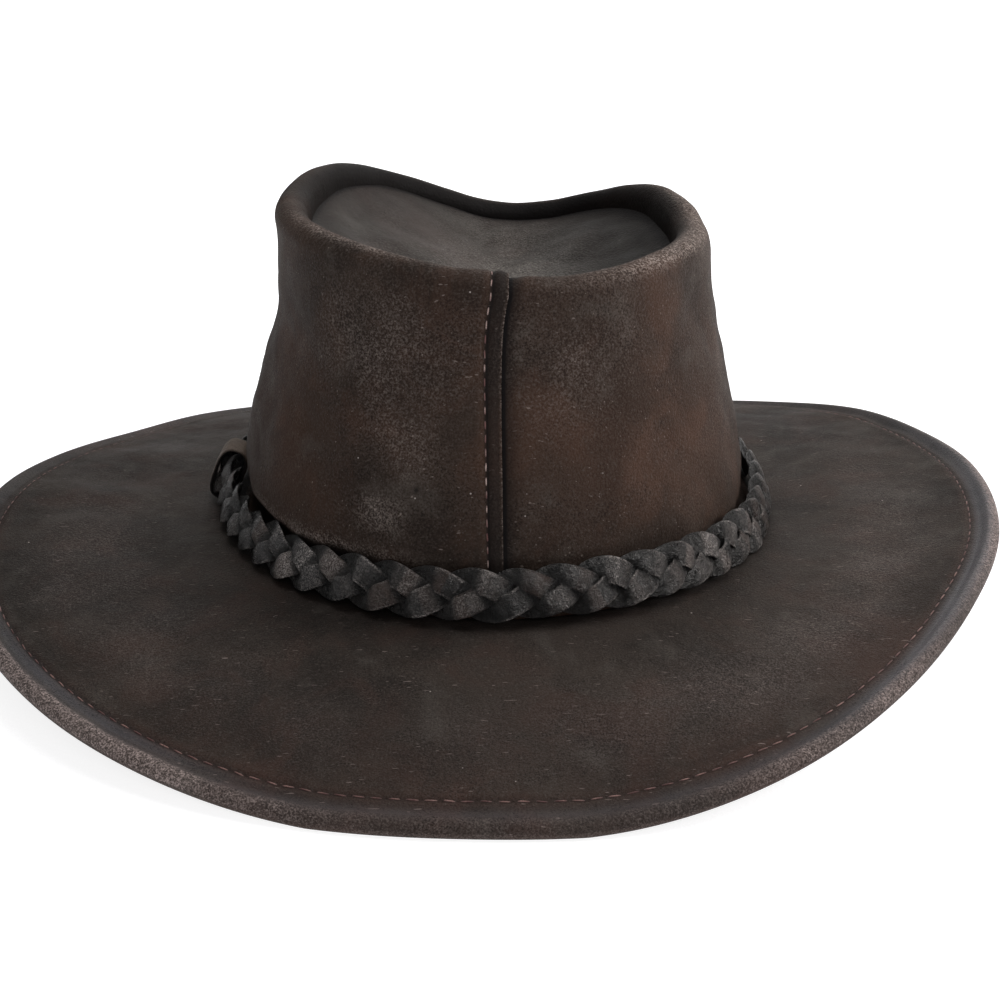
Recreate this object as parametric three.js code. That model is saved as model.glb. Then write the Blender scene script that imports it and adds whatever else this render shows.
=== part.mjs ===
// A bush hat in oiled leather, standing on the front and the back of its brim.
// Millimetres, +Z up. The origin is on the surface it stands on, under the middle of the brim.
// The hat's front is towards +Y, its back seam towards -Y, and the wearer's left towards -X.
// Angles go round the hat in degrees: 0 is the wearer's right, 90 the front, 180 the left, 270 the back.
import * as THREE from "three";

// The air left between two pieces that touch, and what flat facets may take of it on a bend.
const clearance = 0.3;
const facetRoom = 0.25;

// Brim: an oval sheet whose edge is turned under over a cord and sewn down.
const brimWidth = 346.6;
const brimLength = 374.6;
const brimSquareness = 2.09;
const brimLeather = 2;
const brimHeight = 27.5;
const sideRise = 31;
const sideLean = 5.9;
const restDip = 1.2;
const edgeWave = 3;
const edgeSpread = 4;
const brimDroop = 1.4;
const beadRadius = 2.8;
const beadFlat = 0.4;
const hemWidth = 11.5;
const hemLeather = 1.4;
const hemStep = 0.8;

// Crown: one wrapped sheet, flared at its foot and rolled over at the top.
const crownLeather = 2;
const crownWidth = 174.4;
const crownLength = 206;
const crownOffset = 5.1;
const crownHeight = 105;
const footFlare = 3.4;
const wallSwell = 3;
const waistDepth = 3.4;

// Ridge: the rolled top of the crown, measured along the middle of the roll.
const ridgeWidth = 133.4;
const ridgeLength = 167.4;
const ridgeSquareness = 2.25;
const ridgeOffsetX = 2.8;
const ridgeOffsetY = 1.9;
const ridgeRadius = 5.5;

// Back seam: the left end of the crown sheet lies over the right end.
const seamEdge = 4.4;
const seamLap = 12;

// Tip: the oval panel sunk inside the ridge.
const tipLeather = 2;
const tipDepth = 12.6;
const tipDish = 4;
const tipBowl = 2.2;

// Plait: three flat laces round the foot of the crown.
const laceWidth = 5;
const laceThickness = 1.1;
const plaitSwing = 5.2;
const plaitRise = 2.4;
const plaitRiseRipple = 0.5;
const plaitPitch = 41;
const plaitLean = 22;
const plaitSlack = 6;

// Keeper: the leather sleeve over the place where the plait's ends meet.
const keeperLength = 14;
const keeperLeather = 1.3;
const keeperAngle = 180.5;
const keeperSquareness = 2.8;

// What changes on the way round the hat, as shares of the sizes named in the headings:
// ridge of crownHeight, sink of tipDepth, swell of wallSwell, waist of waistDepth,
// slack of plaitSlack, lift of the height that the keeper needs under the plait,
// wave of edgeWave, by which the brim's edge stands up or hangs down,
// and spread of edgeSpread, by which it reaches out or stays back.
const roundTheHat = [
  { at: 0, ridge: 0.912, sink: 0.57, swell: 0.25, waist: 0, slack: 0.1, lift: 0, wave: 0, spread: 0.275 },
  { at: 15, ridge: 0.927, sink: 0.433, swell: 0.275, waist: 0, slack: 0.147, lift: 0, wave: -0.125, spread: -0.222 },
  { at: 30, ridge: 0.933, sink: 0.3, swell: 0.3, waist: 0, slack: 0.2, lift: 0, wave: 0.1, spread: 0 },
  { at: 45, ridge: 0.91, sink: 0.178, swell: 0.303, waist: 0.044, slack: 0.25, lift: 0, wave: -0.056, spread: 0.044 },
  { at: 60, ridge: 0.865, sink: 0.08, swell: 0.3, waist: 0.1, slack: 0.3, lift: 0, wave: 0.1, spread: 0.1 },
  { at: 75, ridge: 0.818, sink: 0.026, swell: 0.294, waist: 0.144, slack: 0.356, lift: 0, wave: 0.025, spread: 0.031 },
  { at: 90, ridge: 0.806, sink: 0, swell: 0.3, waist: 0.2, slack: 0.4, lift: 0, wave: 0, spread: 0 },
  { at: 105, ridge: 0.858, sink: 0, swell: 0.325, waist: 0.281, slack: 0.408, lift: 0.062, wave: 0.45, spread: 0.219 },
  { at: 120, ridge: 0.919, sink: 0, swell: 0.4, waist: 0.4, slack: 0.4, lift: 0.2, wave: 0.867, spread: 0.4 },
  { at: 135, ridge: 0.972, sink: 0.059, swell: 0.594, waist: 0.6, slack: 0.392, lift: 0.496, wave: 0.237, spread: 0.184 },
  { at: 150, ridge: 1, sink: 0.15, swell: 0.8, waist: 0.8, slack: 0.38, lift: 0.8, wave: -1, spread: 0 },
  { at: 165, ridge: 1.005, sink: 0.268, swell: 0.938, waist: 0.938, slack: 0.383, lift: 1.009, wave: -0.925, spread: 0.288 },
  { at: 180, ridge: 0.996, sink: 0.4, swell: 1, waist: 1, slack: 0.35, lift: 1.06, wave: -0.1, spread: 0.65 },
  { at: 195, ridge: 0.99, sink: 0.537, swell: 0.938, waist: 0.944, slack: 0.199, lift: 0.738, wave: 0.081, spread: 0.844 },
  { at: 210, ridge: 0.98, sink: 0.67, swell: 0.8, waist: 0.8, slack: 0.05, lift: 0.4, wave: 0.2, spread: 0.85 },
  { at: 225, ridge: 0.969, sink: 0.79, swell: 0.594, waist: 0.55, slack: 0.021, lift: 0.406, wave: 0.456, spread: 0.475 },
  { at: 240, ridge: 0.953, sink: 0.89, swell: 0.4, waist: 0.3, slack: 0.03, lift: 0.53, wave: 0.6, spread: 0 },
  { at: 255, ridge: 0.93, sink: 0.96, swell: 0.325, waist: 0.169, slack: 0.029, lift: 0.659, wave: 0.337, spread: -0.397 },
  { at: 270, ridge: 0.903, sink: 1, swell: 0.3, waist: 0.1, slack: 0.03, lift: 0.82, wave: 0, spread: -0.6 },
  { at: 285, ridge: 0.89, sink: 1.007, swell: 0.297, waist: 0.094, slack: 0.029, lift: 1.084, wave: -0.356, spread: -0.134 },
  { at: 300, ridge: 0.9, sink: 0.98, swell: 0.3, waist: 0.1, slack: 0.03, lift: 1.2, wave: -0.2, spread: 0.1 },
  { at: 315, ridge: 0.913, sink: 0.914, swell: 0.275, waist: 0.05, slack: 0.037, lift: 0.792, wave: -0.056, spread: -0.116 },
  { at: 330, ridge: 0.92, sink: 0.82, swell: 0.25, waist: 0, slack: 0.05, lift: 0.3, wave: 0.1, spread: -0.225 },
  { at: 345, ridge: 0.917, sink: 0.702, swell: 0.244, waist: 0, slack: 0.07, lift: 0.094, wave: 0.081, spread: 0.659 },
];

// The crown wall from foot to ridge: up is the share of the wall's height,
// swell and waist the shares of wallSwell and waistDepth that push it out or in there.
const wallRows = [
  { up: 0.2, swell: 0.8, waist: 0 },
  { up: 0.38, swell: 0.8, waist: 0.05 },
  { up: 0.56, swell: 0.3, waist: 0.5 },
  { up: 0.74, swell: 0, waist: 1.15 },
  { up: 0.9, swell: 0, waist: 0.6 },
];

// Hollows in the tip: across and along are shares of its half sizes, spread a share of its
// half width, and depth a share of tipDish.
const tipHollows = [
  { across: 0.35, along: -0.1, spread: 0.45, depth: 0.7 },
  { across: -0.05, along: 0.6, spread: 0.3, depth: 0.5 },
  { across: -0.45, along: -0.35, spread: 0.35, depth: 0.3 },
];

// The flare at the crown's foot: out and up are shares of footFlare.
const footRows = [
  { out: 1, up: 0 },
  { out: 0.4, up: 0.15 },
  { out: 0, up: 0.7 },
];

// How finely the shapes are cut: stations round the hat, turns of the two rolls in degrees
// from straight out, and shares of the way across the brim and the tip.
const ridgeTurns = [-8, 32, 71, 109, 148, 180];
const beadTurns = [141, 121, 90, 59, 28, 8];
const brimShares = [0, 0.2, 0.42, 0.64];
const tipShares = [1, 0.93, 0.78, 0.56, 0.3, 0];
const keeperRows = 3;
const plaitSamples = 1440;
const brimStations = 60;
const crownStations = 54;
const tipStations = 40;
const stepsPerTurn = 10;
const keeperStations = 14;

const radians = (degrees) => (degrees * Math.PI) / 180;
const up = new THREE.Vector3(0, 0, 1);

// A column of the table above at any angle, by a smooth curve through its rows.
function roundValue(column, angle) {
  const count = roundTheHat.length;
  const place = (((angle % 360) + 360) % 360) / (360 / count);
  const row = Math.floor(place);
  const f = place - row;
  const value = (k) => roundTheHat[(row + k + count) % count][column];
  const [a, b, c, d] = [value(-1), value(0), value(1), value(2)];
  const slope = c - a + f * (2 * a - 5 * b + 4 * c - d + f * (3 * (b - c) + d - a));
  return b + 0.5 * f * slope;
}

const power = (value, exponent) => Math.sign(value) * Math.abs(value) ** exponent;

// An oval in plan: its point and its outward direction at an angle.
function oval(width, length, squareness, x, y) {
  return (angle) => {
    const across = power(Math.cos(radians(angle)), 2 / squareness);
    const along = power(Math.sin(radians(angle)), 2 / squareness);
    const out = new THREE.Vector3(
      power(across, squareness - 1) / width,
      power(along, squareness - 1) / length,
      0,
    );
    return {
      point: new THREE.Vector3(x + (across * width) / 2, y + (along * length) / 2, 0),
      out: out.normalize(),
    };
  };
}

const beadOval = oval(
  brimWidth - 2 * beadRadius,
  brimLength - 2 * beadRadius,
  brimSquareness,
  0,
  0,
);
const crownFoot = oval(crownWidth, crownLength, 2, crownOffset, 0);
const ridgeLine = oval(ridgeWidth, ridgeLength, ridgeSquareness, ridgeOffsetX, ridgeOffsetY);

const placed = (plan, out, distance, height) =>
  plan.clone().addScaledVector(out, distance).setZ(height);

// A closed body from stations that each hold the same number of paired points,
// one row on each side of a sheet. It is a ring, or a strip closed at both ends.
function sheetBody(stations, ring) {
  const positions = [];
  const triangle = (a, b, c) => {
    if (a.distanceTo(b) < 1e-4 || b.distanceTo(c) < 1e-4 || c.distanceTo(a) < 1e-4) return;
    for (const p of [a, b, c]) positions.push(p.x, p.y, p.z);
  };
  const quad = (a, b, c, d) => {
    triangle(a, b, c);
    triangle(a, c, d);
  };
  const loopOf = (station) => [...station.face, ...station.back.slice().reverse()];
  const last = ring ? stations.length : stations.length - 1;
  for (let i = 0; i < last; i++) {
    const here = loopOf(stations[i]);
    const next = loopOf(stations[(i + 1) % stations.length]);
    for (let j = 0; j < here.length; j++) {
      const k = (j + 1) % here.length;
      quad(here[j], next[j], next[k], here[k]);
    }
  }
  if (!ring) {
    const { face, back } = stations[0];
    const end = stations[stations.length - 1];
    for (let j = 0; j + 1 < face.length; j++) {
      quad(face[j], face[j + 1], back[j + 1], back[j]);
      quad(end.face[j + 1], end.face[j], end.back[j], end.back[j + 1]);
    }
  }
  return facingOut(positions);
}

// Triangles as a geometry, turned round if they enclose a negative volume.
function facingOut(positions) {
  let volume = 0;
  const corner = (i) => new THREE.Vector3().fromArray(positions, i);
  for (let i = 0; i < positions.length; i += 9) {
    volume += corner(i).dot(corner(i + 3).cross(corner(i + 6)));
  }
  if (volume < 0) {
    for (let i = 0; i < positions.length; i += 9) {
      const second = positions.slice(i + 3, i + 6);
      for (let k = 0; k < 3; k++) {
        positions[i + 3 + k] = positions[i + 6 + k];
        positions[i + 6 + k] = second[k];
      }
    }
  }
  const geometry = new THREE.BufferGeometry();
  geometry.setAttribute("position", new THREE.Float32BufferAttribute(positions, 3));
  geometry.computeVertexNormals();
  return geometry;
}

// The directions square to a path of [distance, height] points, on its left as it runs,
// lengthened at each bend so that a sheet keeps its thickness there.
function squareTo(path) {
  const legs = [];
  for (let i = 0; i + 1 < path.length; i++) {
    const run = path[i + 1][0] - path[i][0];
    const rise = path[i + 1][1] - path[i][1];
    const length = Math.hypot(run, rise);
    legs.push([-rise / length, run / length]);
  }
  return path.map((_, i) => {
    const before = legs[Math.max(i - 1, 0)];
    const after = legs[Math.min(i, legs.length - 1)];
    const share = 1 + before[0] * after[0] + before[1] * after[1];
    return [(before[0] + after[0]) / share, (before[1] + after[1]) / share];
  });
}

// Height of the middle of the edge bead: it lies on the floor at the front and the back.
function beadHeight(angle) {
  const across = Math.cos(radians(angle));
  const wave = edgeWave * roundValue("wave", angle);
  const rise = sideRise * across * across + sideLean * across + wave - restDip;
  return beadRadius - beadFlat + Math.max(0, rise);
}

// Where the brim leaves the crown's foot and where it reaches the bead, at an angle.
function brimEnds(angle) {
  const foot = crownFoot(angle);
  const start = placed(foot.point, foot.out, footFlare, 0);
  const bead = beadOval(angle);
  const end = placed(bead.point, bead.out, edgeSpread * roundValue("spread", angle), 0);
  const out = end.clone().sub(start);
  const reach = out.length();
  return { start, reach, out: out.normalize(), foot };
}

// The brim's middle surface falls from the crown to the bead.
function brimMiddle(angle, share) {
  const inner = brimHeight - brimLeather / 2;
  const outer = beadHeight(angle) + (hemLeather + clearance) / 2;
  return inner + (outer - inner) * Math.max(0, share) ** brimDroop;
}

function brimGeometry() {
  const stations = [];
  for (let i = 0; i < brimStations; i++) {
    const angle = (360 * i) / brimStations;
    const { start, reach, out } = brimEnds(angle);
    const inside = -(footFlare + crownLeather);
    const sheetEnd = reach - beadRadius;
    const along = [inside, ...brimShares.map((share) => share * reach)];
    along.push(reach - hemWidth - hemStep, reach - hemWidth, sheetEnd);
    const path = along.map((d) => [d, brimMiddle(angle, d / reach)]);
    const square = squareTo(path);
    const face = [];
    const back = [];
    path.forEach(([d, h], k) => {
      const hem = k >= path.length - 2 ? hemLeather : 0;
      const [sideways, upward] = square[k];
      const top = brimLeather / 2;
      const bottom = top + hem;
      face.push(placed(start, out, d + sideways * top, h + upward * top));
      back.push(placed(start, out, d - sideways * bottom, h - upward * bottom));
    });
    for (const turn of beadTurns) {
      const d = reach + beadRadius * Math.cos(radians(turn));
      const h = beadRadius * Math.sin(radians(turn));
      const middle = beadHeight(angle);
      face.push(placed(start, out, d, middle + h));
      back.push(placed(start, out, d, middle - Math.min(h, beadRadius - beadFlat)));
    }
    stations.push({ face, back });
  }
  return sheetBody(stations, true);
}

// How far the tip's edge lies under the middle of the ridge.
const tipDrop = (angle) => Math.max(0, tipDepth * roundValue("sink", angle));

// The crown's own path at an angle, from the end of its flared foot, up the wall, over the
// ridge and down to the tip. Distances are measured outwards from the foot of the wall.
function crownPath(angle, flare) {
  const foot = crownFoot(angle);
  const ridge = ridgeLine(angle);
  const roll = ridgeRadius - crownLeather / 2;
  const floor = brimHeight + clearance + crownLeather / 2;
  const ridgeHeight = brimHeight + crownHeight * roundValue("ridge", angle);
  const base = placed(foot.point, foot.out, -crownLeather / 2, 0);
  const inward = ridge.point.clone().sub(base).dot(ridge.out);
  const path = footRows.map((row) => [footFlare * flare * row.out, floor + footFlare * row.up]);
  const wallFoot = path[path.length - 1][1];
  const wallTop = ridgeHeight - ridgeRadius;
  for (const row of wallRows) {
    const swell = wallSwell * row.swell * roundValue("swell", angle);
    const waist = waistDepth * row.waist * roundValue("waist", angle);
    const height = wallFoot + (wallTop - wallFoot) * row.up;
    path.push([(inward + roll) * row.up + swell - waist, height]);
  }
  for (const turn of ridgeTurns) {
    const across = inward + roll * Math.cos(radians(turn));
    path.push([across, ridgeHeight + roll * Math.sin(radians(turn))]);
  }
  path.push([inward - roll, ridgeHeight - tipDrop(angle) - tipLeather]);

  // The foot and the ridge don't point the same way out, nor lie on one line,
  // so the path turns and shifts from the one to the other as it climbs.
  const shift = placed(ridge.point, ridge.out, -inward, 0).sub(base);
  return path.map(([d, h], k) => {
    const climb = k < footRows.length ? 0 : Math.min(1, (h - floor) / (wallTop - floor));
    const out = foot.out.clone().lerp(ridge.out, climb).normalize();
    return { plan: base.clone().addScaledVector(shift, climb), out, d, h };
  });
}

// The crown sheet runs clockwise from its outer end at the back seam all the way round,
// and passes under that end with the air between them.
function crownGeometry() {
  const degreesPerMm = 1 / radians(crownWidth / 2);
  const edge = 270 + seamEdge * degreesPerMm;
  const lap = seamLap * degreesPerMm;
  const stations = [
    { angle: edge, flare: 1, inset: 0 },
    { angle: edge - lap / 2, flare: 1, inset: 0 },
  ];
  const under = crownLeather + clearance;
  const approach = [
    { mm: 8, flare: 1, inset: 0 },
    { mm: 4.5, flare: 0, inset: 0 },
    { mm: 1, flare: 0, inset: under },
  ];
  const first = edge - lap;
  const last = edge - 360 + approach[0].mm * degreesPerMm;
  for (let i = 0; i < crownStations; i++) {
    stations.push({ angle: first + ((last - first) * i) / crownStations, flare: 1, inset: 0 });
  }
  for (const row of approach) {
    stations.push({ ...row, angle: edge - 360 + row.mm * degreesPerMm });
  }
  for (const share of [0, 0.5, 1]) {
    stations.push({ angle: edge - 360 - lap * share, flare: 0, inset: under });
  }
  return sheetBody(
    stations.map(({ angle, flare, inset }) => {
      const points = crownPath(angle, flare);
      const square = squareTo(points.map(({ d, h }) => [d, h]));
      const row = (depth) =>
        points.map(({ plan, out, d, h }, k) =>
          placed(plan, out, d + square[k][0] * depth, h + square[k][1] * depth),
        );
      return { face: row(inset - crownLeather / 2), back: row(inset + crownLeather / 2) };
    }),
    false,
  );
}

// The tip's own surface: its edge follows the crown's lip, and its middle is dished.
function tipGeometry() {
  const edgeInside = ridgeRadius + clearance;
  const edgeTop = (angle) =>
    brimHeight + crownHeight * roundValue("ridge", angle) - tipDrop(angle);
  let middle = Infinity;
  for (const { at } of roundTheHat) middle = Math.min(middle, edgeTop(at));
  const stations = [];
  for (let i = 0; i < tipStations; i++) {
    const angle = (360 * i) / tipStations;
    const { point, out } = ridgeLine(angle);
    const edge = placed(point, out, -edgeInside, 0);
    const centre = new THREE.Vector3(ridgeOffsetX, ridgeOffsetY, 0);
    const face = tipShares.map((share) => {
      const p = centre.clone().lerp(edge, share);
      const across = (p.x - ridgeOffsetX) / (ridgeWidth / 2);
      const along = (p.y - ridgeOffsetY) / (ridgeLength / 2);
      let height = middle - tipDish + (edgeTop(angle) - middle + tipDish) * share ** tipBowl;
      for (const hollow of tipHollows) {
        const away = Math.hypot(across - hollow.across, along - hollow.along) / hollow.spread;
        height -= tipDish * hollow.depth * Math.exp(-away * away) * (1 - share ** 4);
      }
      return p.setZ(height);
    });
    const back = face.map((p) => p.clone().setZ(p.z - tipLeather));
    stations.push({ face, back });
  }
  return sheetBody(stations, true);
}

// The line that the middle of the plait follows round the crown, and its frame there.
const plaitHalf = plaitSwing + laceWidth / 2;
const plaitBulk = plaitRise + laceThickness / 2;
const plaitTilt = radians(plaitLean);
const plaitDrop = plaitHalf * Math.cos(plaitTilt) + (laceThickness / 2) * Math.sin(plaitTilt);

// Half sizes of the room inside the keeper, and how far its outside reaches down.
const keeperAcross = plaitHalf + 2 * clearance;
const keeperThrough = plaitBulk + 4 * clearance;
const keeperBend = keeperSquareness / (keeperSquareness - 1);
const keeperDrop =
  (((keeperAcross + keeperLeather) * Math.cos(plaitTilt)) ** keeperBend +
    ((keeperThrough + keeperLeather) * Math.sin(plaitTilt)) ** keeperBend) **
  (1 / keeperBend);

function plaitFrame(angle) {
  const { point, out } = crownFoot(angle);
  const wallLean = (crownWidth - ridgeWidth - 2 * ridgeRadius) / 2 / crownHeight;
  const swell = (wallRows[0].swell / 2) * wallSwell * roundValue("swell", angle);
  const tight =
    plaitHalf * (Math.sin(plaitTilt) - wallLean) +
    plaitBulk * Math.cos(plaitTilt) +
    swell +
    clearance;
  const away = Math.max(tight, footFlare) + plaitSlack * roundValue("slack", angle);
  const low = away + plaitHalf * Math.sin(plaitTilt) - footFlare;
  const { reach } = brimEnds(angle);
  const brimTop = Math.max(brimMiddle(angle, low / reach), brimMiddle(angle, 0)) + brimLeather / 2;
  const lift = (keeperDrop - plaitDrop + clearance) * roundValue("lift", angle);
  const height = brimTop + clearance + facetRoom + plaitDrop + lift;
  return {
    centre: placed(point, out, away, height),
    across: out.clone().multiplyScalar(-Math.sin(plaitTilt)).addScaledVector(up, Math.cos(plaitTilt)),
    facing: out.clone().multiplyScalar(Math.cos(plaitTilt)).addScaledVector(up, Math.sin(plaitTilt)),
  };
}

// Angles at even steps of length along the plait's line.
function plaitAngles(count) {
  const fine = plaitSamples;
  const lengths = [0];
  let before = plaitFrame(0).centre;
  for (let i = 1; i <= fine; i++) {
    const here = plaitFrame((360 * i) / fine).centre;
    lengths.push(lengths[i - 1] + here.distanceTo(before));
    before = here;
  }
  const total = lengths[fine];
  const angles = [];
  let i = 0;
  for (let k = 0; k < count; k++) {
    const target = (total * k) / count;
    while (lengths[i + 1] < target) i++;
    const share = (target - lengths[i]) / (lengths[i + 1] - lengths[i]);
    angles.push((360 * (i + share)) / fine);
  }
  return { angles, total };
}

const plaitTurns = Math.round(plaitAngles(1).total / plaitPitch);

// One lace: it swings from side to side and passes over and under the other two.
function laceGeometry(lace) {
  const steps = plaitTurns * stepsPerTurn;
  const { angles } = plaitAngles(steps);
  const middle = angles.map((angle, i) => {
    const turn = (2 * Math.PI * i) / stepsPerTurn + (2 * Math.PI * lace) / 3;
    const { centre, across, facing } = plaitFrame(angle);
    const rise = -plaitRise * Math.sin(2 * turn) + plaitRiseRipple * Math.sin(4 * turn);
    return {
      facing,
      point: centre
        .clone()
        .addScaledVector(across, plaitSwing * Math.sin(turn))
        .addScaledVector(facing, rise),
    };
  });
  const stations = middle.map(({ point, facing }, i) => {
    const ahead = middle[(i + 1) % steps].point;
    const behind = middle[(i + steps - 1) % steps].point;
    const along = ahead.clone().sub(behind).normalize();
    const wide = new THREE.Vector3().crossVectors(along, facing).normalize();
    const thick = new THREE.Vector3().crossVectors(wide, along).normalize();
    const row = (side) =>
      [-1, 1].map((end) =>
        point
          .clone()
          .addScaledVector(wide, (end * laceWidth) / 2)
          .addScaledVector(thick, (side * laceThickness) / 2),
      );
    return { face: row(1), back: row(-1) };
  });
  return sheetBody(stations, true);
}

// The keeper is a short oval sleeve that the plait passes through.
function keeperGeometry() {
  const sweep = keeperLength / radians(crownLength / 2 + plaitSlack);
  const stations = [];
  for (let i = 0; i < keeperStations; i++) {
    const turn = (2 * Math.PI * i) / keeperStations;
    const sideways = power(Math.sin(turn), 2 / keeperSquareness);
    const outwards = power(Math.cos(turn), 2 / keeperSquareness);
    const row = (extra) => {
      const points = [];
      for (let k = 0; k <= keeperRows; k++) {
        const angle = keeperAngle + sweep * (k / keeperRows - 0.5);
        const { centre, across, facing } = plaitFrame(angle);
        points.push(
          centre
            .clone()
            .addScaledVector(across, (keeperAcross + extra) * sideways)
            .addScaledVector(facing, (keeperThrough + extra) * outwards),
        );
      }
      return points;
    };
    stations.push({ face: row(keeperLeather), back: row(0) });
  }
  return sheetBody(stations, true);
}

const leather = (colour, roughness) =>
  new THREE.MeshStandardMaterial({ color: colour, roughness, metalness: 0 });

const hat = new THREE.Group();

function addPiece(name, geometry, material) {
  const mesh = new THREE.Mesh(geometry, material);
  mesh.name = name;
  hat.add(mesh);
}

addPiece("brim", brimGeometry(), leather("#2f2622", 0.7));
addPiece("crown_side", crownGeometry(), leather("#33271f", 0.65));
addPiece("crown_tip", tipGeometry(), leather("#2d2521", 0.6));
for (let lace = 0; lace < 3; lace++) {
  addPiece(`braid_strand_${lace + 1}`, laceGeometry(lace), leather("#1d1918", 0.45));
}
addPiece("braid_keeper", keeperGeometry(), leather("#5a4433", 0.6));

// The origin goes under the middle of the whole hat.
const box = new THREE.Box3().setFromObject(hat);
hat.position.x = -(box.min.x + box.max.x) / 2;
hat.position.y = -(box.min.y + box.max.y) / 2;

export default hat;
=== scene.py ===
import math
from functools import partial

import bpy
import numpy as np
from mathutils import Matrix, Vector


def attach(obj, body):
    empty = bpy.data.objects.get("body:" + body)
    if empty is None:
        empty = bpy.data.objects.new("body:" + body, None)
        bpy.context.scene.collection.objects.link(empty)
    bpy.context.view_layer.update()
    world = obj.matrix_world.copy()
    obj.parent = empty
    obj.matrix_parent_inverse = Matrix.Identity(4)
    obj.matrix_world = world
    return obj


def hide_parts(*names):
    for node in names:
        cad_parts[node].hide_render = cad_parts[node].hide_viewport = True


# The looks of a bush hat in oiled leather, dressed over its solids.
# Shapes are worked out in millimetres from the same sizes as the solids, then set in metres.
# Angles go round the hat in degrees:
# 0 is the wearer's right, 90 the front, 180 the left and 270 the back, where the seam is.
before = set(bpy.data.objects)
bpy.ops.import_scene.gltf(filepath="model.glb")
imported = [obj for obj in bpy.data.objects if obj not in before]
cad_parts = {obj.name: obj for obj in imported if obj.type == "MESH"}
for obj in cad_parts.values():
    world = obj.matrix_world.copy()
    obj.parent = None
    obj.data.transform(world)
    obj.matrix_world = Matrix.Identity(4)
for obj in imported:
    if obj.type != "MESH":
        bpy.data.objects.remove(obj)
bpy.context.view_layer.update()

# From the sizes' own origin to the solids', in millimetres.
SHIFT = np.array([0.5, -1.2, 0.0])

# The photograph's viewpoint: place in metres, angles in degrees, lens in millimetres.
CAMERA_PLACE = (0.0181, -0.5746, 0.2404)
CAMERA_PITCH = -20.43
CAMERA_YAW = -1.19
CAMERA_ROLL = 0.21
CAMERA_LENS = 61.67


def add_object(name, data):
    thing = bpy.data.objects.new(name, data)
    bpy.context.scene.collection.objects.link(thing)
    return thing


def add_camera():
    """The photograph's viewpoint: behind the hat, a little above it."""
    data = bpy.data.cameras.new("camera")
    data.lens = CAMERA_LENS
    data.sensor_width = 36
    data.clip_start = 0.01
    data.clip_end = 50
    camera = add_object("camera", data)
    pitch, yaw, roll = (math.radians(a) for a in (CAMERA_PITCH, CAMERA_YAW, CAMERA_ROLL))
    forward = Vector(
        (math.sin(yaw) * math.cos(pitch), math.cos(yaw) * math.cos(pitch), math.sin(pitch))
    )
    level = forward.cross(Vector((0, 0, 1))).normalized()
    above = level.cross(forward)
    right = level * math.cos(roll) + above * math.sin(roll)
    top = above * math.cos(roll) - level * math.sin(roll)
    turn = Matrix((right, top, -forward)).transposed().to_4x4()
    camera.matrix_world = Matrix.Translation(CAMERA_PLACE) @ turn
    bpy.context.scene.camera = camera


add_camera()
bpy.context.scene.view_settings.view_transform = "Standard"

# Sizes of the solids, in millimetres and degrees.
CLEARANCE = 0.3
FACET_ROOM = 0.25
BRIM_WIDTH = 346.6
BRIM_LENGTH = 374.6
BRIM_SQUARENESS = 2.09
BRIM_LEATHER = 2.0
BRIM_HEIGHT = 27.5
SIDE_RISE = 31.0
SIDE_LEAN = 5.9
REST_DIP = 1.2
EDGE_WAVE = 3.0
EDGE_SPREAD = 4.0
BRIM_DROOP = 1.4
BEAD_RADIUS = 2.8
BEAD_FLAT = 0.4
HEM_WIDTH = 11.5
HEM_LEATHER = 1.4
CROWN_LEATHER = 2.0
CROWN_WIDTH = 174.4
CROWN_LENGTH = 206.0
CROWN_OFFSET = 5.1
CROWN_HEIGHT = 105.0
FOOT_FLARE = 3.4
WALL_SWELL = 3.0
WAIST_DEPTH = 3.4
RIDGE_WIDTH = 133.4
RIDGE_LENGTH = 167.4
RIDGE_SQUARENESS = 2.25
RIDGE_X = 2.8
RIDGE_Y = 1.9
RIDGE_RADIUS = 5.5
SEAM_ANGLE = 270
SEAM_EDGE = 4.4
SEAM_LAP = 12.0
TIP_LEATHER = 2.0
TIP_DEPTH = 12.6
TIP_DISH = 4.0
TIP_BOWL = 2.2
LACE_WIDTH = 5.0
LACE_THICKNESS = 1.1
PLAIT_SWING = 5.2
PLAIT_RISE = 2.4
PLAIT_PITCH = 41.0
PLAIT_LEAN = 22.0
PLAIT_SLACK = 6.0
KEEPER_LENGTH = 14.0
KEEPER_LEATHER = 1.3
KEEPER_ANGLE = 180.5
KEEPER_SQUARENESS = 2.8

# What only shows in the looks, in millimetres.
STITCH_LINE = 9.3
HEM_STITCH = 4.9
SEAM_LINE = 4.3
SEAM_STITCH = 4.1
SOFT_LACE_WIDTH = 7.7
SOFT_LACE_THICKNESS = 1.25
SOFT_SWING = 4.15
SOFT_RISE = 1.5
SOFT_LIFT = -0.3
SEAM_BACK = 0.35
SEAM_LEAN = 2.4
TIP_TUCK = 0.7
HEM_GROOVE = 7.0

# How finely the crown's ridge and each turn of the plait are cut.
RIDGE_STEPS = 12
PLAIT_STEPS = 66

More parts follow.
